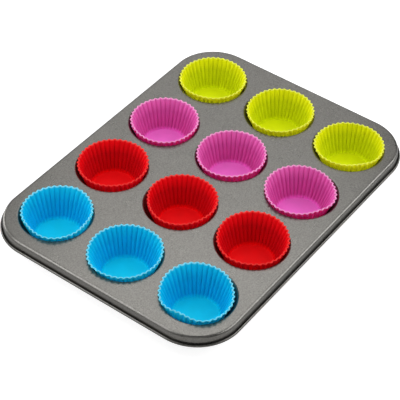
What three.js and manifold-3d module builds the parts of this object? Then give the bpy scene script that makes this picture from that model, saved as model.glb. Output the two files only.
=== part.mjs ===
// A twelve cup muffin pan with a loose fluted silicone liner in every cup.
// Millimetres, +Z up, +X along the pan. The origin is under the middle of the pan,
// on the plane that the undersides of its cups stand on.

import * as THREE from 'three';
import { mergeVertices } from 'three/addons/utils/BufferGeometryUtils.js';
import Module from 'manifold-3d';

const wasm = await Module();
wasm.setup();

// The pan is one pressed steel sheet
const sheetThickness = 0.5;

// Cups pressed into it
const cupsAlong = 4;
const cupsAcross = 3;
const cupPitch = 83;
const cupDepth = 28.5;
const cupMouthRadius = 34.5;
const cupFloorRadius = 27;
const cupFloorFillet = 3;
const cupLipRadius = 2.5;

// Deck around the cups, and the shoulder that turns down into the skirt
const deckEndMargin = 50.1;
const deckSideMargin = 46.6;
const deckCornerRadius = 44.5;
const shoulderRadius = 2.5;

// Skirt, and the edge of the sheet curled outwards around a wire
const skirtDepth = 9.35;
const skirtFlare = 0.5;
const curlRadius = 1.45;
const curlMouthGap = 0.3;
const wireGap = 0.3;

// Liners of silicone, which stand on the floors of the cups
const linerRise = 4.2;
const linerWall = 1.1;
const linerFloor = 1.2;
const linerFlutes = 40;
const rimFluteDepth = 1.6;
const baseFluteDepth = 0.9;
const linerMouthClearance = 2.3;
const linerFloorClearance = 3.7;
const linerFloorGap = 0.3;
const linerSideGap = 0.7;

// How finely round stretches are faceted
const cupSides = 24;
const cornerSteps = 8;
const shoulderSteps = 3;
const curlSteps = 10;
const wireSides = 6;
const cutOverrun = 2;

// Where each liner has been pushed to inside its cup, as a share of the play around it.
// One line for each colour, from +X to -X; in a line the cups go from +Y to -Y.
const linerShiftShares = {
  lime: [[0.19, -0.06], [0.62, -0.50], [0.38, -0.56]],
  pink: [[-0.35, -0.90], [0.06, -0.19], [-0.61, 0.76]],
  red: [[0.81, -0.31], [0.93, -0.27], [0.97, 0.05]],
  blue: [[0.05, -0.97], [-0.44, -0.38], [-0.48, 0.84]],
};

const linerColours = {
  lime: 0xb7c20a,
  pink: 0xc13e8c,
  red: 0xbe0610,
  blue: 0x079ad5,
};

const deckTop = sheetThickness + cupDepth;
const deckUnder = deckTop - sheetThickness;
const deckHalfLength = (cupsAlong - 1) / 2 * cupPitch + deckEndMargin;
const deckHalfWidth = (cupsAcross - 1) / 2 * cupPitch + deckSideMargin;
const curlInnerRadius = curlRadius - sheetThickness;
const curlMiddleOutward = skirtFlare + curlInnerRadius;
const curlMiddleHeight = deckTop - skirtDepth;

// Skins rings of points, all with as many points, into one closed surface
function skinRings(rings, ringsMeet) {
  const count = rings[0].length;
  const corners = rings.flat().flatMap((point) => point.toArray());
  const faces = [];
  const strips = ringsMeet ? rings.length : rings.length - 1;
  for (let strip = 0; strip < strips; strip += 1) {
    const here = strip * count;
    const next = ((strip + 1) % rings.length) * count;
    for (let side = 0; side < count; side += 1) {
      const after = (side + 1) % count;
      faces.push(here + side, next + side, next + after);
      faces.push(here + side, next + after, here + after);
    }
  }
  if (!ringsMeet) {
    const lastRing = (rings.length - 1) * count;
    const firstMiddle = corners.length / 3;
    corners.push(...middleOf(rings[0]).toArray());
    corners.push(...middleOf(rings[rings.length - 1]).toArray());
    for (let side = 0; side < count; side += 1) {
      const after = (side + 1) % count;
      faces.push(firstMiddle, side, after);
      faces.push(firstMiddle + 1, lastRing + after, lastRing + side);
    }
  }
  const geometry = new THREE.BufferGeometry();
  geometry.setAttribute('position', new THREE.Float32BufferAttribute(corners, 3));
  geometry.setIndex(faces);
  return geometry;
}

function middleOf(points) {
  const sum = points.reduce((total, point) => total.add(point), new THREE.Vector3());
  return sum.divideScalar(points.length);
}

// One turn around the deck's outline, moved outwards and set at a height
function deckRing(outward, height) {
  const points = [];
  const radius = deckCornerRadius + outward;
  const quarters = [[1, 1], [-1, 1], [-1, -1], [1, -1]];
  quarters.forEach(([sideX, sideY], quarter) => {
    const middleX = sideX * (deckHalfLength - deckCornerRadius);
    const middleY = sideY * (deckHalfWidth - deckCornerRadius);
    for (let step = 0; step <= cornerSteps; step += 1) {
      const angle = (quarter + step / cornerSteps) * Math.PI / 2;
      const x = middleX + radius * Math.cos(angle);
      const y = middleY + radius * Math.sin(angle);
      points.push(new THREE.Vector3(x, y, height));
    }
  });
  return points;
}

// Rings of the deck's outline along an arc that is drawn in the sheet's section
function arcRings(middleOutward, middleHeight, radius, startAngle, endAngle, steps) {
  const rings = [];
  for (let step = 0; step <= steps; step += 1) {
    const angle = startAngle + (endAngle - startAngle) * step / steps;
    const outward = middleOutward + radius * Math.cos(angle);
    rings.push(deckRing(outward, middleHeight + radius * Math.sin(angle)));
  }
  return rings;
}

// Deck, shoulder, skirt and curl as one sheet, before the cups are pressed.
// The curl stops short of the skirt, so that its mouth stays open all around.
function deckSheet() {
  const shoulderMiddle = deckTop - shoulderRadius;
  const curlStart = -Math.PI;
  const curlMouth = Math.acos((curlMouthGap - curlInnerRadius) / curlRadius);
  const upperFace = [
    ...arcRings(-shoulderRadius, shoulderMiddle, shoulderRadius, Math.PI / 2, 0, shoulderSteps),
    ...arcRings(curlMiddleOutward, curlMiddleHeight, curlInnerRadius, curlStart, curlMouth, curlSteps),
  ];
  const underRadius = shoulderRadius - sheetThickness;
  const underFace = [
    ...arcRings(curlMiddleOutward, curlMiddleHeight, curlRadius, curlMouth, curlStart, curlSteps),
    ...arcRings(-shoulderRadius, shoulderMiddle, underRadius, 0, Math.PI / 2, shoulderSteps),
  ];
  return skinRings([...upperFace, ...underFace], false);
}

// The section of a cup from its axis out to its lip and back to the axis.
// The inside face uses the sizes as they are, and the outside face lies a sheet's thickness beyond it.
function cupForm(outset, lidHeight) {
  const floorHeight = sheetThickness - outset;
  const wallBottomHeight = sheetThickness + cupFloorFillet;
  const wallTopHeight = deckTop - cupLipRadius;
  const wallRise = wallTopHeight - wallBottomHeight;
  const slant = Math.atan2(cupMouthRadius - cupFloorRadius, wallRise);
  const filletRadius = cupFloorFillet + outset;
  const lipRadius = cupLipRadius - outset;
  const filletMiddle = cupFloorRadius - cupFloorFillet;
  const lipMiddle = cupMouthRadius + cupLipRadius;
  const section = new THREE.Path();
  section.moveTo(0, floorHeight);
  section.lineTo(filletMiddle, floorHeight);
  section.absarc(filletMiddle, wallBottomHeight, filletRadius, -Math.PI / 2, -slant, false);
  section.absarc(lipMiddle, wallTopHeight, lipRadius, Math.PI - slant, Math.PI / 2, true);
  section.lineTo(lipMiddle, lidHeight);
  section.lineTo(0, lidHeight);
  const geometry = new THREE.LatheGeometry(section.getPoints(1), cupSides);
  geometry.rotateX(Math.PI / 2);
  return geometry;
}

// Merges a surface's shared corners, drops the faces that shrink to a line on the axis, and makes a solid
function toSolid(geometry) {
  const bare = geometry.clone();
  bare.deleteAttribute('normal');
  bare.deleteAttribute('uv');
  const merged = mergeVertices(bare);
  const index = merged.getIndex().array;
  const faces = [];
  for (let first = 0; first < index.length; first += 3) {
    const [a, b, c] = index.slice(first, first + 3);
    if (a !== b && b !== c && c !== a) {
      faces.push(a, b, c);
    }
  }
  return new wasm.Manifold(new wasm.Mesh({
    numProp: 3,
    vertProperties: new Float32Array(merged.getAttribute('position').array),
    triVerts: new Uint32Array(faces),
  }));
}

function toGeometry(solid) {
  const mesh = solid.getMesh();
  const geometry = new THREE.BufferGeometry();
  geometry.setAttribute('position', new THREE.BufferAttribute(mesh.vertProperties, 3));
  geometry.setIndex(new THREE.BufferAttribute(mesh.triVerts, 1));
  return geometry;
}

function cupCentre(along, across) {
  const x = ((cupsAlong - 1) / 2 - along) * cupPitch;
  const y = ((cupsAcross - 1) / 2 - across) * cupPitch;
  return [x, y];
}

// The whole pressing: the deck sheet with a cup drawn down at every place
function panBody() {
  const outside = toSolid(cupForm(sheetThickness, (deckTop + deckUnder) / 2));
  const inside = toSolid(cupForm(0, deckTop + cutOverrun));
  let pan = toSolid(deckSheet());
  for (let along = 0; along < cupsAlong; along += 1) {
    for (let across = 0; across < cupsAcross; across += 1) {
      const place = [...cupCentre(along, across), 0];
      pan = pan.add(outside.translate(place));
      pan = pan.subtract(inside.translate(place));
    }
  }
  return toGeometry(pan);
}

// The wire that stiffens the edge, bent to the deck's outline in the middle of the curl
function rimWire() {
  const wireRadius = curlInnerRadius - wireGap;
  const turn = arcRings(curlMiddleOutward, curlMiddleHeight, wireRadius, 0, -2 * Math.PI, wireSides);
  return skinRings(turn.slice(0, wireSides), true);
}

// Radius of a liner over the crests of its flutes at a height above its own underside.
// Its side is a straight cone that clears the cup by a set amount at the floor and at the mouth.
const linerMouthHeight = cupDepth - cupLipRadius - linerFloorGap;
function linerCrestRadius(height) {
  const baseRadius = cupFloorRadius - linerFloorClearance;
  const mouthRadius = cupMouthRadius - linerMouthClearance;
  return baseRadius + (mouthRadius - baseRadius) * height / linerMouthHeight;
}

// One zigzag turn of the fluted wall: crest, hollow, crest, hollow
function fluteRing(crestRadius, depth, height) {
  const points = [];
  for (let step = 0; step < linerFlutes * 2; step += 1) {
    const angle = step / linerFlutes * Math.PI;
    const radius = crestRadius - (step % 2) * depth;
    points.push(new THREE.Vector3(radius * Math.cos(angle), radius * Math.sin(angle), height));
  }
  return points;
}

function linerCup() {
  const height = cupDepth - linerFloorGap + linerRise;
  const rimRadius = linerCrestRadius(height);
  const baseRadius = linerCrestRadius(0);
  const floorRadius = linerCrestRadius(linerFloor) - linerWall;
  return skinRings([
    fluteRing(floorRadius, baseFluteDepth, linerFloor),
    fluteRing(rimRadius - linerWall, rimFluteDepth, height),
    fluteRing(rimRadius, rimFluteDepth, height),
    fluteRing(baseRadius, baseFluteDepth, 0),
  ], false);
}

const panSteel = new THREE.MeshStandardMaterial({ color: 0x80807c, roughness: 0.45, metalness: 0.5 });
const wireSteel = new THREE.MeshStandardMaterial({ color: 0xa8a8a4, roughness: 0.35, metalness: 0.9 });

const muffinPan = new THREE.Group();

function addPiece(name, geometry, material) {
  const piece = new THREE.Mesh(geometry, material);
  piece.name = name;
  muffinPan.add(piece);
  return piece;
}

addPiece('pan_body', panBody(), panSteel);
addPiece('rim_wire', rimWire(), wireSteel);

const linerPlay = linerMouthClearance - linerSideGap;
Object.entries(linerShiftShares).forEach(([colourName, shifts], along) => {
  const silicone = new THREE.MeshStandardMaterial({
    color: linerColours[colourName],
    roughness: 0.5,
    metalness: 0,
  });
  shifts.forEach(([shareX, shareY], across) => {
    const liner = addPiece(`liner_${colourName}_${across + 1}`, linerCup(), silicone);
    const [x, y] = cupCentre(along, across);
    liner.position.set(
      x + shareX * linerPlay,
      y + shareY * linerPlay,
      sheetThickness + linerFloorGap,
    );
  });
});

export default muffinPan;
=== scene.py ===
import math

import bmesh
import bpy
from mathutils import Matrix, Vector


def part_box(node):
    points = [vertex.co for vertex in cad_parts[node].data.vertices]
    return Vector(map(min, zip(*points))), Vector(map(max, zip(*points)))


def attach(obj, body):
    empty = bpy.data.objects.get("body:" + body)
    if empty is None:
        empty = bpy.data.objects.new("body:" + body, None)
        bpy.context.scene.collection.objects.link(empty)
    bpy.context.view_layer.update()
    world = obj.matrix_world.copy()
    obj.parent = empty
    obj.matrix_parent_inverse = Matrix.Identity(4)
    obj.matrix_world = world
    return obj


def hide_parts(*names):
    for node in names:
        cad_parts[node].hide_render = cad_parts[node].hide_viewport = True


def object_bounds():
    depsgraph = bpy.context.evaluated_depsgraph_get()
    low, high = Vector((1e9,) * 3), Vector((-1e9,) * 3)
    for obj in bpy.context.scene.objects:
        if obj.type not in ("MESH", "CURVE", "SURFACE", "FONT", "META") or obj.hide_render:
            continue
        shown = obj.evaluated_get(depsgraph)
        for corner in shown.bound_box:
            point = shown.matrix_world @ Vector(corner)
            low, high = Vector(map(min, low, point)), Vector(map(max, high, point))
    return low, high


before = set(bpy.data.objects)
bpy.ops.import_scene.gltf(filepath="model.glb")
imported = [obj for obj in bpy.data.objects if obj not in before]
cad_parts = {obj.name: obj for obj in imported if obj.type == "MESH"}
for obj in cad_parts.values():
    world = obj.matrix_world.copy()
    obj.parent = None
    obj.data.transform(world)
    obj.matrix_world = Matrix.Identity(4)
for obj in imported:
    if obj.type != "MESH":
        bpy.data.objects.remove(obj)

cad_box = [list(corner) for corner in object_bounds()]

# The pan
# One sheet of steel is pressed into a flat deck and twelve cups. Its edge is turned down over a
# rounded shoulder into a short skirt, and curled outwards at the bottom. A satin grey non-stick
# coating with a fine sprayed grain covers all of it, with a painted highlight along the shoulder.

pan_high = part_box("pan_body")[1]
deck_top = pan_high.z
sheet = 0.0005

cups_along = 4
cups_across = 3
cup_pitch = 0.083
cup_mouth_radius = 0.0345
cup_floor_radius = 0.027
cup_floor_fillet = 0.003
cup_lip_radius = 0.002

deck_corner_radius = 0.0445
shoulder_radius = 0.0025
skirt_depth = 0.00935
skirt_flare = 0.0005
curl_radius = 0.00145
curl_mouth_gap = 0.0013
flat_margin = 0.0006

coating_dark = (93, 92, 88)
coating_light = (127, 125, 121)
# The lighter coating on the shoulder, a painted highlight.
shoulder_highlight_dark = (108, 107, 103)
shoulder_highlight_light = (147, 145, 141)
coating_grain = {"Scale": 750, "Detail": 2, "Roughness": 0.7}
coating_grain_strength = 0.35
coating_grain_depth = 0.00006
coating_clouds = {"Scale": 60, "Detail": 3, "Roughness": 0.5}
cloud_share = 0.15
coating_smoothest = 0.26
coating_roughest = 0.32
coating_metal_share = 0.8

# Almost all values of a noise lie between these two.
noise_low = 0.3
noise_high = 0.7

# The standard curve between a screen's values and the light that it gives.
screen_white = 255
screen_toe_end = 0.04045
screen_toe_slope = 12.92
screen_offset = 0.055
screen_power = 2.4

curl_inner_radius = curl_radius - sheet
curl_middle = skirt_flare + curl_inner_radius
deck_half_length = pan_high.x - curl_middle - curl_radius
deck_half_width = pan_high.y - curl_middle - curl_radius

cup_sides = 128
cup_lip_steps = 10
cup_fillet_steps = 8
deck_corner_steps = 24
curl_steps = 24
shoulder_steps = 10

# The painted highlight's band on the shoulder, in rings of the edge counted from the deck's flat.
first_highlight_ring = 3
last_highlight_ring = 6


def arc(middle, radius, start, end, steps):
    """Points of an arc in a section, as pairs of outward distance and height."""
    points = []
    for step in range(steps + 1):
        angle = start + (end - start) * step / steps
        points.append((middle[0] + radius * math.cos(angle), middle[1] + radius * math.sin(angle)))
    return points


def deck_ring(outward, height):
    """One turn around the deck's rounded outline, moved outwards."""
    points = []
    radius = deck_corner_radius + outward
    for quarter, (side_x, side_y) in enumerate(((1, 1), (-1, 1), (-1, -1), (1, -1))):
        middle_x = side_x * (deck_half_length - deck_corner_radius)
        middle_y = side_y * (deck_half_width - deck_corner_radius)
        for step in range(deck_corner_steps + 1):
            angle = (quarter + step / deck_corner_steps) * math.pi / 2
            x = middle_x + radius * math.cos(angle)
            y = middle_y + radius * math.sin(angle)
            points.append(Vector((x, y, height)))
    return points


def cup_ring(centre, radius, height):
    """One turn around a cup's axis."""
    points = []
    for side in range(cup_sides):
        angle = 2 * math.pi * side / cup_sides
        x = centre[0] + radius * math.cos(angle)
        y = centre[1] + radius * math.sin(angle)
        points.append(Vector((x, y, height)))
    return points


def skin(mesh, rings, close=False):
    """Adds rings of points to a mesh with faces between them, and returns the rings of vertices."""
    turns = [[mesh.verts.new(point) for point in ring] for ring in rings]
    pairs = list(zip(turns, turns[1:]))
    if close:
        pairs.append((turns[-1], turns[0]))
    for here, following in pairs:
        for side in range(len(here)):
            after = (side + 1) % len(here)
            mesh.faces.new((here[side], following[side], following[after], here[after]))
    return turns


def second_finish_around(turns):
    """Gives the faces around some rings of vertices the second of their piece's two materials."""
    for turn in turns:
        for vertex in turn:
            for face in vertex.link_faces:
                face.material_index = 1


def fan(mesh, turn, middle, facing_up):
    """Closes a ring of vertices around a point in its middle."""
    centre = mesh.verts.new(middle)
    for side in range(len(turn)):
        after = (side + 1) % len(turn)
        corners = (centre, turn[side], turn[after])
        mesh.faces.new(corners if facing_up else corners[::-1])


def fill_deck(mesh, outline, holes, facing_up):
    """Fills the flat deck between its outline and the cups' rings."""
    edges = []
    for turn in [outline, *holes]:
        for side in range(len(turn)):
            after = (side + 1) % len(turn)
            edges.append(mesh.edges.get((turn[side], turn[after])))
    filled = bmesh.ops.triangle_fill(mesh, use_beauty=True, use_dissolve=False, edges=edges)
    faces = [item for item in filled["geom"] if isinstance(item, bmesh.types.BMFace)]
    for face in faces:
        face.normal_update()
        if (face.normal.z > 0) != facing_up:
            face.normal_flip()


def cup_section(outset):
    """A face of a cup's section, from the deck's flat to the cup's floor, set outwards by outset."""
    wall_bottom = sheet + cup_floor_fillet
    wall_top = deck_top - cup_lip_radius
    slant = math.atan2(cup_mouth_radius - cup_floor_radius, wall_top - wall_bottom)
    lip_middle = cup_mouth_radius + cup_lip_radius
    fillet_middle = cup_floor_radius - cup_floor_fillet
    lip_radius = cup_lip_radius - outset
    fillet_radius = cup_floor_fillet + outset
    lip = arc((lip_middle, wall_top), lip_radius, math.pi / 2, math.pi - slant, cup_lip_steps)
    fillet = arc((fillet_middle, wall_bottom), fillet_radius, -slant, -math.pi / 2, cup_fillet_steps)
    flat_outside = (lip_middle + flat_margin, deck_top - outset)
    flat_inside = (fillet_middle - flat_margin, sheet - outset)
    return [flat_outside, *lip, *fillet, flat_inside]


def edge_section():
    """The deck's edge in section, from the upper flat around the curl to the lower flat."""
    shoulder = (-shoulder_radius, deck_top - shoulder_radius)
    curl = (curl_middle, deck_top - skirt_depth)
    mouth = math.acos((curl_mouth_gap - curl_inner_radius) / curl_radius)
    return [
        (-shoulder_radius - flat_margin, deck_top),
        *arc(shoulder, shoulder_radius, math.pi / 2, 0, shoulder_steps),
        *arc(curl, curl_inner_radius, -math.pi, mouth, curl_steps),
        *arc(curl, curl_radius, mouth, -math.pi, curl_steps),
        *arc(shoulder, shoulder_radius - sheet, 0, math.pi / 2, shoulder_steps),
        (-shoulder_radius - flat_margin, deck_top - sheet),
    ]


def new_piece(name, mesh):
    """Turns a mesh into a smooth shaded object of its own."""
    data = bpy.data.meshes.new(name)
    mesh.to_mesh(data)
    mesh.free()
    data.shade_smooth()
    piece = bpy.data.objects.new(name, data)
    bpy.context.scene.collection.objects.link(piece)
    return piece


def cup_centre(along, across):
    """The middle of a cup. Rows run from +X to -X, and the cups of a row from +Y to -Y."""
    x = ((cups_along - 1) / 2 - along) * cup_pitch
    y = ((cups_across - 1) / 2 - across) * cup_pitch
    return x, y


def pan_mesh():
    """The whole pressing as one closed sheet."""
    mesh = bmesh.new()
    edge = skin(mesh, [deck_ring(outward, height) for outward, height in edge_section()])
    # The shoulder's band takes the lighter coating, a painted highlight.
    second_finish_around(edge[first_highlight_ring:last_highlight_ring + 1])
    upper_holes = []
    lower_holes = []
    for along in range(cups_along):
        for across in range(cups_across):
            centre = cup_centre(along, across)
            upper = skin(mesh, [cup_ring(centre, *point) for point in cup_section(0)])
            lower = skin(mesh, [cup_ring(centre, *point) for point in reversed(cup_section(sheet))])
            fan(mesh, upper[-1], Vector((*centre, sheet)), True)
            fan(mesh, lower[0], Vector((*centre, 0)), False)
            upper_holes.append(upper[0])
            lower_holes.append(lower[-1])
    fill_deck(mesh, edge[0], upper_holes, True)
    fill_deck(mesh, edge[-1], lower_holes, False)
    bmesh.ops.recalc_face_normals(mesh, faces=mesh.faces)
    return mesh


def material_with(name):
    """A new material, its nodes and links, and its one surface shader."""
    material = bpy.data.materials.new(name)
    material.use_nodes = True
    nodes = material.node_tree.nodes
    return material, nodes, material.node_tree.links, nodes["Principled BSDF"]


def linear(red, green, blue):
    """A colour as it is seen on a screen, from 0 to 255, as the light that it stands for."""
    light = []
    for value in (red, green, blue):
        share = value / screen_white
        if share <= screen_toe_end:
            light.append(share / screen_toe_slope)
        else:
            light.append(((share + screen_offset) / (1 + screen_offset)) ** screen_power)
    return (*light, 1)


def noise(nodes, links, place, character):
    """Noise in the object's own space, its scale in cycles to the metre."""
    texture = nodes.new("ShaderNodeTexNoise")
    for socket, value in character.items():
        texture.inputs[socket].default_value = value
    links.new(place, texture.inputs["Vector"])
    return texture.outputs["Fac"]


def ramp(nodes, links, value, stops):
    """A colour ramp over a value, from pairs of place and colour."""
    node = nodes.new("ShaderNodeValToRGB")
    elements = node.color_ramp.elements
    while len(elements) < len(stops):
        elements.new(1)
    for element, (place, colour) in zip(elements, stops):
        element.position = place
        element.color = colour
    links.new(value, node.inputs["Fac"])
    return node.outputs["Color"]


def mottle(nodes, links, value, dark, light):
    """A colour that goes from dark to light with a noise."""
    return ramp(nodes, links, value, ((noise_low, dark), (noise_high, light)))


def relief(nodes, links, shader, height, strength, depth):
    """A fine relief on a surface, its depth in metres."""
    bump = nodes.new("ShaderNodeBump")
    bump.inputs["Strength"].default_value = strength
    bump.inputs["Distance"].default_value = depth
    links.new(height, bump.inputs["Height"])
    links.new(bump.outputs["Normal"], shader.inputs["Normal"])


def non_stick_coating(name, dark, light):
    """Satin grey coating with a fine sprayed grain and faint cloudy patches."""
    material, nodes, links, shader = material_with(name)
    place = nodes.new("ShaderNodeTexCoord").outputs["Object"]
    grain = noise(nodes, links, place, coating_grain)
    clouds = noise(nodes, links, place, coating_clouds)
    spread = nodes.new("ShaderNodeMix")
    spread.inputs["Factor"].default_value = cloud_share
    links.new(grain, spread.inputs["A"])
    links.new(clouds, spread.inputs["B"])
    grey = mottle(nodes, links, spread.outputs["Result"], linear(*dark), linear(*light))
    links.new(grey, shader.inputs["Base Color"])
    gloss = nodes.new("ShaderNodeMapRange")
    gloss.inputs["From Min"].default_value = noise_low
    gloss.inputs["From Max"].default_value = noise_high
    gloss.inputs["To Min"].default_value = coating_smoothest
    gloss.inputs["To Max"].default_value = coating_roughest
    links.new(clouds, gloss.inputs["Value"])
    links.new(gloss.outputs["Result"], shader.inputs["Roughness"])
    relief(nodes, links, shader, grain, coating_grain_strength, coating_grain_depth)
    shader.inputs["Metallic"].default_value = coating_metal_share
    return material


pan = new_piece("pan", pan_mesh())
# The second coating is lighter, a painted highlight on the shoulder.
for name, dark, light in (
    ("non_stick_coating", coating_dark, coating_light),
    ("painted_shoulder_highlight", shoulder_highlight_dark, shoulder_highlight_light),
):
    pan.data.materials.append(non_stick_coating(name, dark, light))
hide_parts("pan_body")
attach(pan, "pan")

# The rim wire
# A drawn steel wire lies inside the curl and keeps the pan's edge straight. It is painted dark, as
# the shade inside the curl, and only a sliver of it shows, through the mouth of the curl.

wire_gap = 0.0003
wire_radius = curl_inner_radius - wire_gap
wire_sides = 16
# The wire is painted this dark as the shade inside the curl.
wire_shade_dark = (60, 59, 57)
wire_shade_light = (84, 83, 80)
wire_marks = {"Scale": 900, "Detail": 3, "Roughness": 0.7}
wire_mark_strength = 0.2
wire_mark_depth = 0.00003
wire_roughness = 0.35


def drawn_wire():
    """Steel painted dark as the shade inside the curl, covered with fine marks."""
    material, nodes, links, shader = material_with("drawn_wire")
    place = nodes.new("ShaderNodeTexCoord").outputs["Object"]
    marks = noise(nodes, links, place, wire_marks)
    grey = mottle(nodes, links, marks, linear(*wire_shade_dark), linear(*wire_shade_light))
    links.new(grey, shader.inputs["Base Color"])
    relief(nodes, links, shader, marks, wire_mark_strength, wire_mark_depth)
    shader.inputs["Metallic"].default_value = 1
    shader.inputs["Roughness"].default_value = wire_roughness
    return material


def wire_mesh():
    """A closed round wire along the middle of the curl."""
    section = arc((curl_middle, deck_top - skirt_depth), wire_radius, 0, -2 * math.pi, wire_sides)
    mesh = bmesh.new()
    skin(mesh, [deck_ring(outward, height) for outward, height in section[:wire_sides]], close=True)
    return mesh


wire = new_piece("edge_wire", wire_mesh())
wire.data.materials.append(drawn_wire())
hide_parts("rim_wire")
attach(wire, "pan")

# The liners
# Each cup holds a loose liner moulded from silicone in one of four colours: a thin fluted wall
# that opens out towards the rim, on a flat round floor. They stand a little off centre, their
# soft rims are not quite round, and light shines through their walls.

# Each colour as it is painted on the floor, deep in the wall, in its upper part, on the thin rim,
# and where light comes through the wall from inside. A liner is of one silicone colour: its lighter
# floor and upper wall and its darker deep wall are painted light and shade, and its lighter rim is
# a painted highlight.
liner_colours_with_painted_light = {
    "lime": ((233, 245, 2), (213, 223, 8), (250, 252, 14), (244, 248, 80), (252, 244, 22)),
    "pink": ((255, 126, 228), (219, 89, 173), (248, 113, 200), (255, 160, 216), (236, 50, 140)),
    "red": ((255, 8, 18), (207, 5, 20), (254, 8, 23), (250, 56, 52), (250, 8, 26)),
    "blue": ((4, 227, 255), (4, 189, 239), (6, 211, 254), (120, 226, 255), (16, 197, 255)),
}
# Heights between which the first four change into one another, as shares of the liner's height.
colour_stop_shares = (0.08, 0.15, 0.62, 0.92, 0.975, 0.99)

# Where each rim is pushed out of round: pairs of a share of the turn around it, from +X towards +Y,
# and a share of the largest push, which is outwards where it is positive.
rim_bend_shares = {
    "liner_lime_1": ((0.17, -0.08), (0.39, 0.25), (0.56, -0.15), (0.86, 0.12)),
    "liner_lime_2": ((0.22, -0.15), (0.45, 0.25), (0.52, 0.15), (0.68, -0.42), (0.95, 0.12)),
    "liner_lime_3": (
        (0.06, -0.42), (0.17, -0.15), (0.35, 0.50), (0.44, 0.25), (0.56, -0.35),
        (0.64, -0.85),
    ),
    "liner_pink_1": (
        (0.08, 0.06), (0.31, 0.08), (0.44, -0.18), (0.73, -0.35), (0.84, -0.12),
        (0.96, 0.20),
    ),
    "liner_pink_2": ((0.46, 0.25), (0.58, -0.20), (0.67, -0.40), (0.81, -0.20), (0.97, 0.30)),
    "liner_pink_3": (
        (0.03, -0.12), (0.18, 0.18), (0.28, 0.20), (0.47, 0.28), (0.68, -0.55),
        (0.76, 0.50), (0.91, -0.35),
    ),
    "liner_red_1": ((0.40, 0.06), (0.62, -0.45), (0.73, -0.18), (0.96, 0.30)),
    "liner_red_2": (
        (0.02, 0.12), (0.35, -0.52), (0.43, -0.22), (0.53, 0.25), (0.70, -0.40),
        (0.91, 0.20),
    ),
    "liner_red_3": (
        (0.00, 0.12), (0.09, 0.12), (0.17, 0.10), (0.32, -0.20), (0.50, 0.38),
        (0.67, 0.32), (0.85, -0.15),
    ),
    "liner_blue_1": (
        (0.02, 0.55), (0.17, 0.12), (0.45, -0.34), (0.57, 0.60), (0.77, -0.75),
        (0.86, -0.15),
    ),
    "liner_blue_2": (
        (0.12, -0.12), (0.32, 0.12), (0.43, 0.68), (0.53, 0.15), (0.71, -0.28),
        (0.80, -0.12), (0.92, 0.42),
    ),
    "liner_blue_3": (
        (0.13, 0.38), (0.22, 0.15), (0.31, -0.15), (0.44, 0.45), (0.505, -0.85),
        (0.55, -0.65), (0.60, 0.65), (0.67, 0.50), (0.75, 0.30), (0.87, -0.42),
    ),
}
# How far all rims of a colour are spread, and how far they lean, as shares of the largest push.
rim_spread_shares = {
    "lime": (0.05, -0.05),
    "pink": (0.15, 0.10),
    "red": (0.18, 0.14),
    "blue": (0.20, 0.10),
}
rim_lean_turn_share = 0.1
largest_rim_push = 0.0035
rim_bend_width_share = 0.07
rim_bend_fall = 7

liner_base_radius = 0.0233
flutes = 40
points_to_a_flute = 8
flute_sharpness = 0.93
liner_wall = 0.0011
liner_floor = 0.0012
rim_flute_depth = 0.0016
base_flute_depth = 0.0009
base_round = 0.0016
floor_round = 0.0022
rim_round = 0.0003
wall_start_share = 1.6
wall_steps = 14
floor_corner_end = -math.pi / 8
floor_corner_steps = 5
base_corner_start = -math.pi / 10
base_corner_steps = 4
groove_narrowing = 3
groove_deepening = 0.0004

silicone_haze = {"Scale": 90, "Detail": 2, "Roughness": 0.5}
haze_colour = (0.94, 0.94, 0.94, 1)
clear_colour = (1, 1, 1, 1)
silicone_grain = {"Scale": 2600, "Detail": 2, "Roughness": 0.5}
silicone_grain_strength = 0.1
silicone_grain_depth = 0.00002
silicone_roughness = 0.55
silicone_gloss = 0.1
silicone_reach = 0.005


def flute_wave(angle):
    """1 on the crest of a flute and 0 in its hollow, with straight flanks and rounded turns."""
    folded = math.asin(flute_sharpness * math.cos(flutes * angle)) / math.asin(flute_sharpness)
    return (1 + folded) / 2


def rim_bend(angle, spread, bends):
    """How far a rim is pushed outwards at an angle."""
    spread_share, lean_share = spread
    lean = math.cos(angle - 2 * math.pi * rim_lean_turn_share)
    push = (spread_share + lean_share * lean) * largest_rim_push
    for turn_share, push_share in bends:
        away = math.remainder(angle / (2 * math.pi) - turn_share, 1)
        push += push_share * largest_rim_push * math.exp(-(away / rim_bend_width_share) ** 2)
    return push


def crest_radius(level, height, rim_radius):
    """The radius over the flutes' crests, at a level over the underside of a liner."""
    return liner_base_radius + (rim_radius - liner_base_radius) * level / height


def flute_depth(level, height):
    """The depth of the flutes on the outside of a liner, at a level over its underside."""
    return base_flute_depth + (rim_flute_depth - base_flute_depth) * level / height


def inner_section(height, rim_radius):
    """The inside from the flat of the floor, up the wall and over the rim. A point gives its radius,
    its level, the depth of its flutes, and how much their crests are narrowed."""
    floor_radius = crest_radius(liner_floor, height, rim_radius) - liner_wall - floor_round
    section = [(floor_radius - floor_round, liner_floor, 0, 1)]
    corner_middle = (floor_radius, liner_floor + floor_round)
    corner = arc(corner_middle, floor_round, -math.pi / 2, floor_corner_end, floor_corner_steps)
    for step, (radius, level) in enumerate(corner):
        depth = (flute_depth(level, height) + groove_deepening) * step / len(corner)
        section.append((radius, level, depth, groove_narrowing))
    first = liner_floor + floor_round * wall_start_share
    for step in range(wall_steps + 1):
        level = first + (height - rim_round - first) * step / wall_steps
        radius = crest_radius(level, height, rim_radius) - liner_wall
        depth = flute_depth(level, height) + groove_deepening * (1 - level / height)
        section.append((radius, level, depth, groove_narrowing))
    section.append((rim_radius - liner_wall + rim_round, height, rim_flute_depth, groove_narrowing))
    section.append((rim_radius - rim_round, height, rim_flute_depth, 1))
    return section


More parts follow.
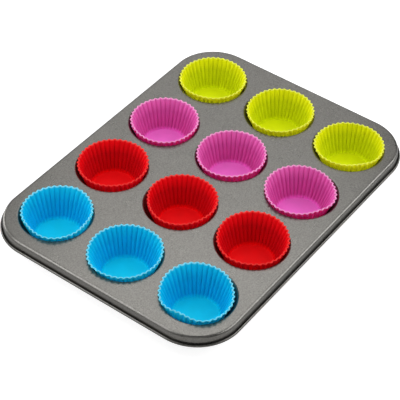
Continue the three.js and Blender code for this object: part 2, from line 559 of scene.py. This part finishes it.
def outer_section(height, rim_radius):
    """The outside from under the rim, down the wall and around to the flat of the underside."""
    section = []
    for step in range(wall_steps + 1):
        level = height - rim_round + (base_round - height + rim_round) * step / wall_steps
        section.append((crest_radius(level, height, rim_radius), level, flute_depth(level, height), 1))
    corner_middle = (liner_base_radius - base_round, base_round)
    corner = arc(corner_middle, base_round, base_corner_start, -math.pi / 2, base_corner_steps)
    for radius, level in corner:
        section.append((radius, level, base_flute_depth, 1))
    section.append((liner_base_radius - 2 * base_round, 0, 0, 1))
    return section


def liner_ring(centre, base_height, height, spread, bends, point):
    """One turn around a liner's axis, for one point of its section."""
    radius, level, depth, narrowing = point
    points = []
    count = flutes * points_to_a_flute
    for step in range(count):
        angle = 2 * math.pi * step / count
        reach = radius - depth * (1 - flute_wave(angle) ** narrowing)
        reach += rim_bend(angle, spread, bends) * (level / height) ** rim_bend_fall
        x = centre[0] + reach * math.cos(angle)
        y = centre[1] + reach * math.sin(angle)
        points.append(Vector((x, y, base_height + level)))
    return points


def liner_mesh(centre, base_height, rim_height, rim_radius, spread, bends):
    """A fluted liner as one closed skin, with the second finish below the rim on its outside."""
    height = rim_height - base_height
    inside = inner_section(height, rim_radius)
    section = inside + outer_section(height, rim_radius)
    rings = [liner_ring(centre, base_height, height, spread, bends, point) for point in section]
    mesh = bmesh.new()
    turns = skin(mesh, rings)
    fan(mesh, turns[0], Vector((*centre, base_height + liner_floor)), True)
    fan(mesh, turns[-1], Vector((*centre, base_height)), False)
    second_finish_around(turns[len(inside) + 1:])
    bmesh.ops.recalc_face_normals(mesh, faces=mesh.faces)
    return mesh


def silicone(name, colours, low_height, rim_height):
    """Matte silicone, its colour changing with height as painted light and shade."""
    material, nodes, links, shader = material_with(name)
    place = nodes.new("ShaderNodeTexCoord").outputs["Object"]
    split = nodes.new("ShaderNodeSeparateXYZ")
    links.new(place, split.inputs["Vector"])
    level = nodes.new("ShaderNodeMapRange")
    level.inputs["From Min"].default_value = low_height
    level.inputs["From Max"].default_value = rim_height
    links.new(split.outputs["Z"], level.inputs["Value"])
    bottom, deep, upper, rim = [linear(*colour) for colour in colours]
    # The lighter floor, upper wall and rim and the darker deep wall are painted light and shade.
    stop_colours = (bottom, deep, deep, upper, upper, rim)
    stops = list(zip(colour_stop_shares, stop_colours))
    body = ramp(nodes, links, level.outputs["Result"], stops)
    haze = noise(nodes, links, place, silicone_haze)
    faint = mottle(nodes, links, haze, haze_colour, clear_colour)
    mixed = nodes.new("ShaderNodeMix")
    mixed.data_type = "RGBA"
    mixed.blend_type = "MULTIPLY"
    mixed.inputs["Factor"].default_value = 1
    links.new(body, mixed.inputs["A"])
    links.new(faint, mixed.inputs["B"])
    links.new(mixed.outputs["Result"], shader.inputs["Base Color"])
    grain = noise(nodes, links, place, silicone_grain)
    relief(nodes, links, shader, grain, silicone_grain_strength, silicone_grain_depth)
    shader.inputs["Roughness"].default_value = silicone_roughness
    shader.inputs["Specular IOR Level"].default_value = silicone_gloss
    return material


def let_light_through(material):
    """Lets the light inside a liner show through its thin wall."""
    shader = material.node_tree.nodes["Principled BSDF"]
    shader.inputs["Subsurface Weight"].default_value = 1
    shader.inputs["Subsurface Radius"].default_value = (1, 1, 1)
    shader.inputs["Subsurface Scale"].default_value = silicone_reach


for colour_name, (bottom, deep, upper, rim, through) in liner_colours_with_painted_light.items():
    low_end, high_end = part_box(f"liner_{colour_name}_1")
    inside_colours = (bottom, deep, upper, rim)
    # The rim colour is a painted highlight on the outside too.
    outside_colours = (through, through, through, rim)
    finish = silicone(f"silicone_{colour_name}", inside_colours, low_end.z, high_end.z)
    outside_finish = silicone(f"silicone_{colour_name}_outside", outside_colours, low_end.z, high_end.z)
    let_light_through(outside_finish)
    for across in range(cups_across):
        node = f"liner_{colour_name}_{across + 1}"
        low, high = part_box(node)
        middle = ((low.x + high.x) / 2, (low.y + high.y) / 2)
        rim_radius = (high.x - low.x) / 2
        spread = rim_spread_shares[colour_name]
        bends = rim_bend_shares[node]
        fluted_skin = liner_mesh(middle, low.z, high.z, rim_radius, spread, bends)
        liner = new_piece(f"silicone_{node}", fluted_skin)
        liner.data.materials.append(finish)
        liner.data.materials.append(outside_finish)
        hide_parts(node)
        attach(liner, node)

# The floor
# A plain pale surface under the pan. It is lifted to white for the camera, and half as far for
# what the coating reflects, and it keeps the pan's soft shadow.

floor_half = 3
floor_dark = linear(186, 186, 186)
floor_light = linear(190, 190, 190)
floor_clouds = {"Scale": 8, "Detail": 2, "Roughness": 0.5}
floor_roughness = 0.9
floor_lift = 0.85
floor_gloss_share = 0.5


def pale_floor():
    """White to the eye and pale in reflections, with its shadow kept."""
    material, nodes, links, shader = material_with("pale_floor")
    place = nodes.new("ShaderNodeTexCoord").outputs["Object"]
    clouds = noise(nodes, links, place, floor_clouds)
    white = mottle(nodes, links, clouds, floor_dark, floor_light)
    links.new(white, shader.inputs["Base Color"])
    shader.inputs["Roughness"].default_value = floor_roughness
    shader.inputs["Specular IOR Level"].default_value = 0
    path = nodes.new("ShaderNodeLightPath")
    seen = path.outputs["Is Camera Ray"]
    for ray, share in (("Is Glossy Ray", floor_gloss_share), ("Is Transmission Ray", 1)):
        either = nodes.new("ShaderNodeMath")
        either.operation = "MULTIPLY_ADD"
        links.new(path.outputs[ray], either.inputs[0])
        either.inputs[1].default_value = share
        links.new(seen, either.inputs[2])
        seen = either.outputs[0]
    lift = nodes.new("ShaderNodeMath")
    lift.operation = "MULTIPLY"
    lift.inputs[1].default_value = floor_lift
    links.new(seen, lift.inputs[0])
    shader.inputs["Emission Color"].default_value = (1, 1, 1, 1)
    links.new(lift.outputs[0], shader.inputs["Emission Strength"])
    return material


floor_height = cad_box[0][2]
floor_mesh = bmesh.new()
floor_corners = []
for side_x, side_y in ((-1, -1), (1, -1), (1, 1), (-1, 1)):
    floor_corners.append(floor_mesh.verts.new((side_x * floor_half, side_y * floor_half, floor_height)))
floor_mesh.faces.new(floor_corners)
floor = new_piece("floor", floor_mesh)
floor.data.materials.append(pale_floor())

# The light
# A soft studio with eight square lamps at the same distance around the pan, and an almost dark sky.
# The high ones draw the bright line along the shoulder, over a painted highlight, and those behind
# give the deck its sheen.

view_turn = -54.926
lamp_distance = 1.25
lamp_width = 0.7
sky_strength = 0.04

# Each lamp's name, its turn around the pan from straight behind it, its lift from the floor, both
# in degrees, and its power in watts.
lamps = (
    ("right_light", 288, 37, 4.8),
    ("front_right_light", 252, 40, 4.2),
    ("low_front_light", 180, 18, 1.1),
    ("left_light", 115, 30, 2.6),
    ("high_left_light", 95, 55, 4.2),
    ("low_left_light", 60, 18, 5.0),
    ("back_light", 0, 65, 3.2),
    ("low_back_light", 0, 40, 2.0),
)


def lamp_place(turn, lift):
    """A place at the lamps' distance from the middle of the pan."""
    around = math.radians(turn + view_turn)
    rise = math.radians(lift)
    flat = lamp_distance * math.cos(rise)
    return Vector((-flat * math.sin(around), flat * math.cos(around), lamp_distance * math.sin(rise)))


def soft_lamp(name, place, power):
    """A flat square lamp that faces the middle of the pan."""
    lamp = bpy.data.lights.new(name, "AREA")
    lamp.shape = "SQUARE"
    lamp.size = lamp_width
    lamp.energy = power
    holder = bpy.data.objects.new(name, lamp)
    holder.location = place
    holder.rotation_euler = (-place).to_track_quat("-Z", "Y").to_euler()
    bpy.context.scene.collection.objects.link(holder)


for name, turn, lift, power in lamps:
    soft_lamp(name, lamp_place(turn, lift), power)

sky = bpy.data.worlds.new("studio_sky")
sky.use_nodes = True
sky_light = sky.node_tree.nodes["Background"]
sky_light.inputs["Color"].default_value = (1, 1, 1, 1)
sky_light.inputs["Strength"].default_value = sky_strength
bpy.context.scene.world = sky

# The camera
# It looks down across the pan's near corner, from far off, with a slight roll. A shift of half a
# pixel each way lays its picture over the photo.

camera_azimuth = math.radians(view_turn)
camera_elevation = math.radians(44.019)
camera_roll = math.radians(2.009)
camera_distance = 1.4023
camera_aim = Vector((-0.02662, -0.01283, deck_top))
camera_lens = 133.15
camera_film_width = 36
photo_width = 400
half_pixel_share = 0.5 / photo_width

back = Vector((
    math.sin(camera_azimuth) * math.cos(camera_elevation),
    -math.cos(camera_azimuth) * math.cos(camera_elevation),
    math.sin(camera_elevation),
))
right = (-back).cross(Vector((0, 0, 1))).normalized()
above = right.cross(-back)
rolled_right = right * math.cos(camera_roll) + above * math.sin(camera_roll)
rolled_above = above * math.cos(camera_roll) - right * math.sin(camera_roll)
facing = Matrix((rolled_right, rolled_above, back)).transposed().to_4x4()
lens = bpy.data.cameras.new("camera")
lens.lens = camera_lens
lens.sensor_width = camera_film_width
lens.shift_x = -half_pixel_share
lens.shift_y = half_pixel_share
camera = bpy.data.objects.new("camera", lens)
camera.matrix_world = Matrix.Translation(camera_aim + back * camera_distance) @ facing
bpy.context.scene.collection.objects.link(camera)
bpy.context.scene.camera = camera

bpy.context.scene.view_settings.view_transform = "Standard"
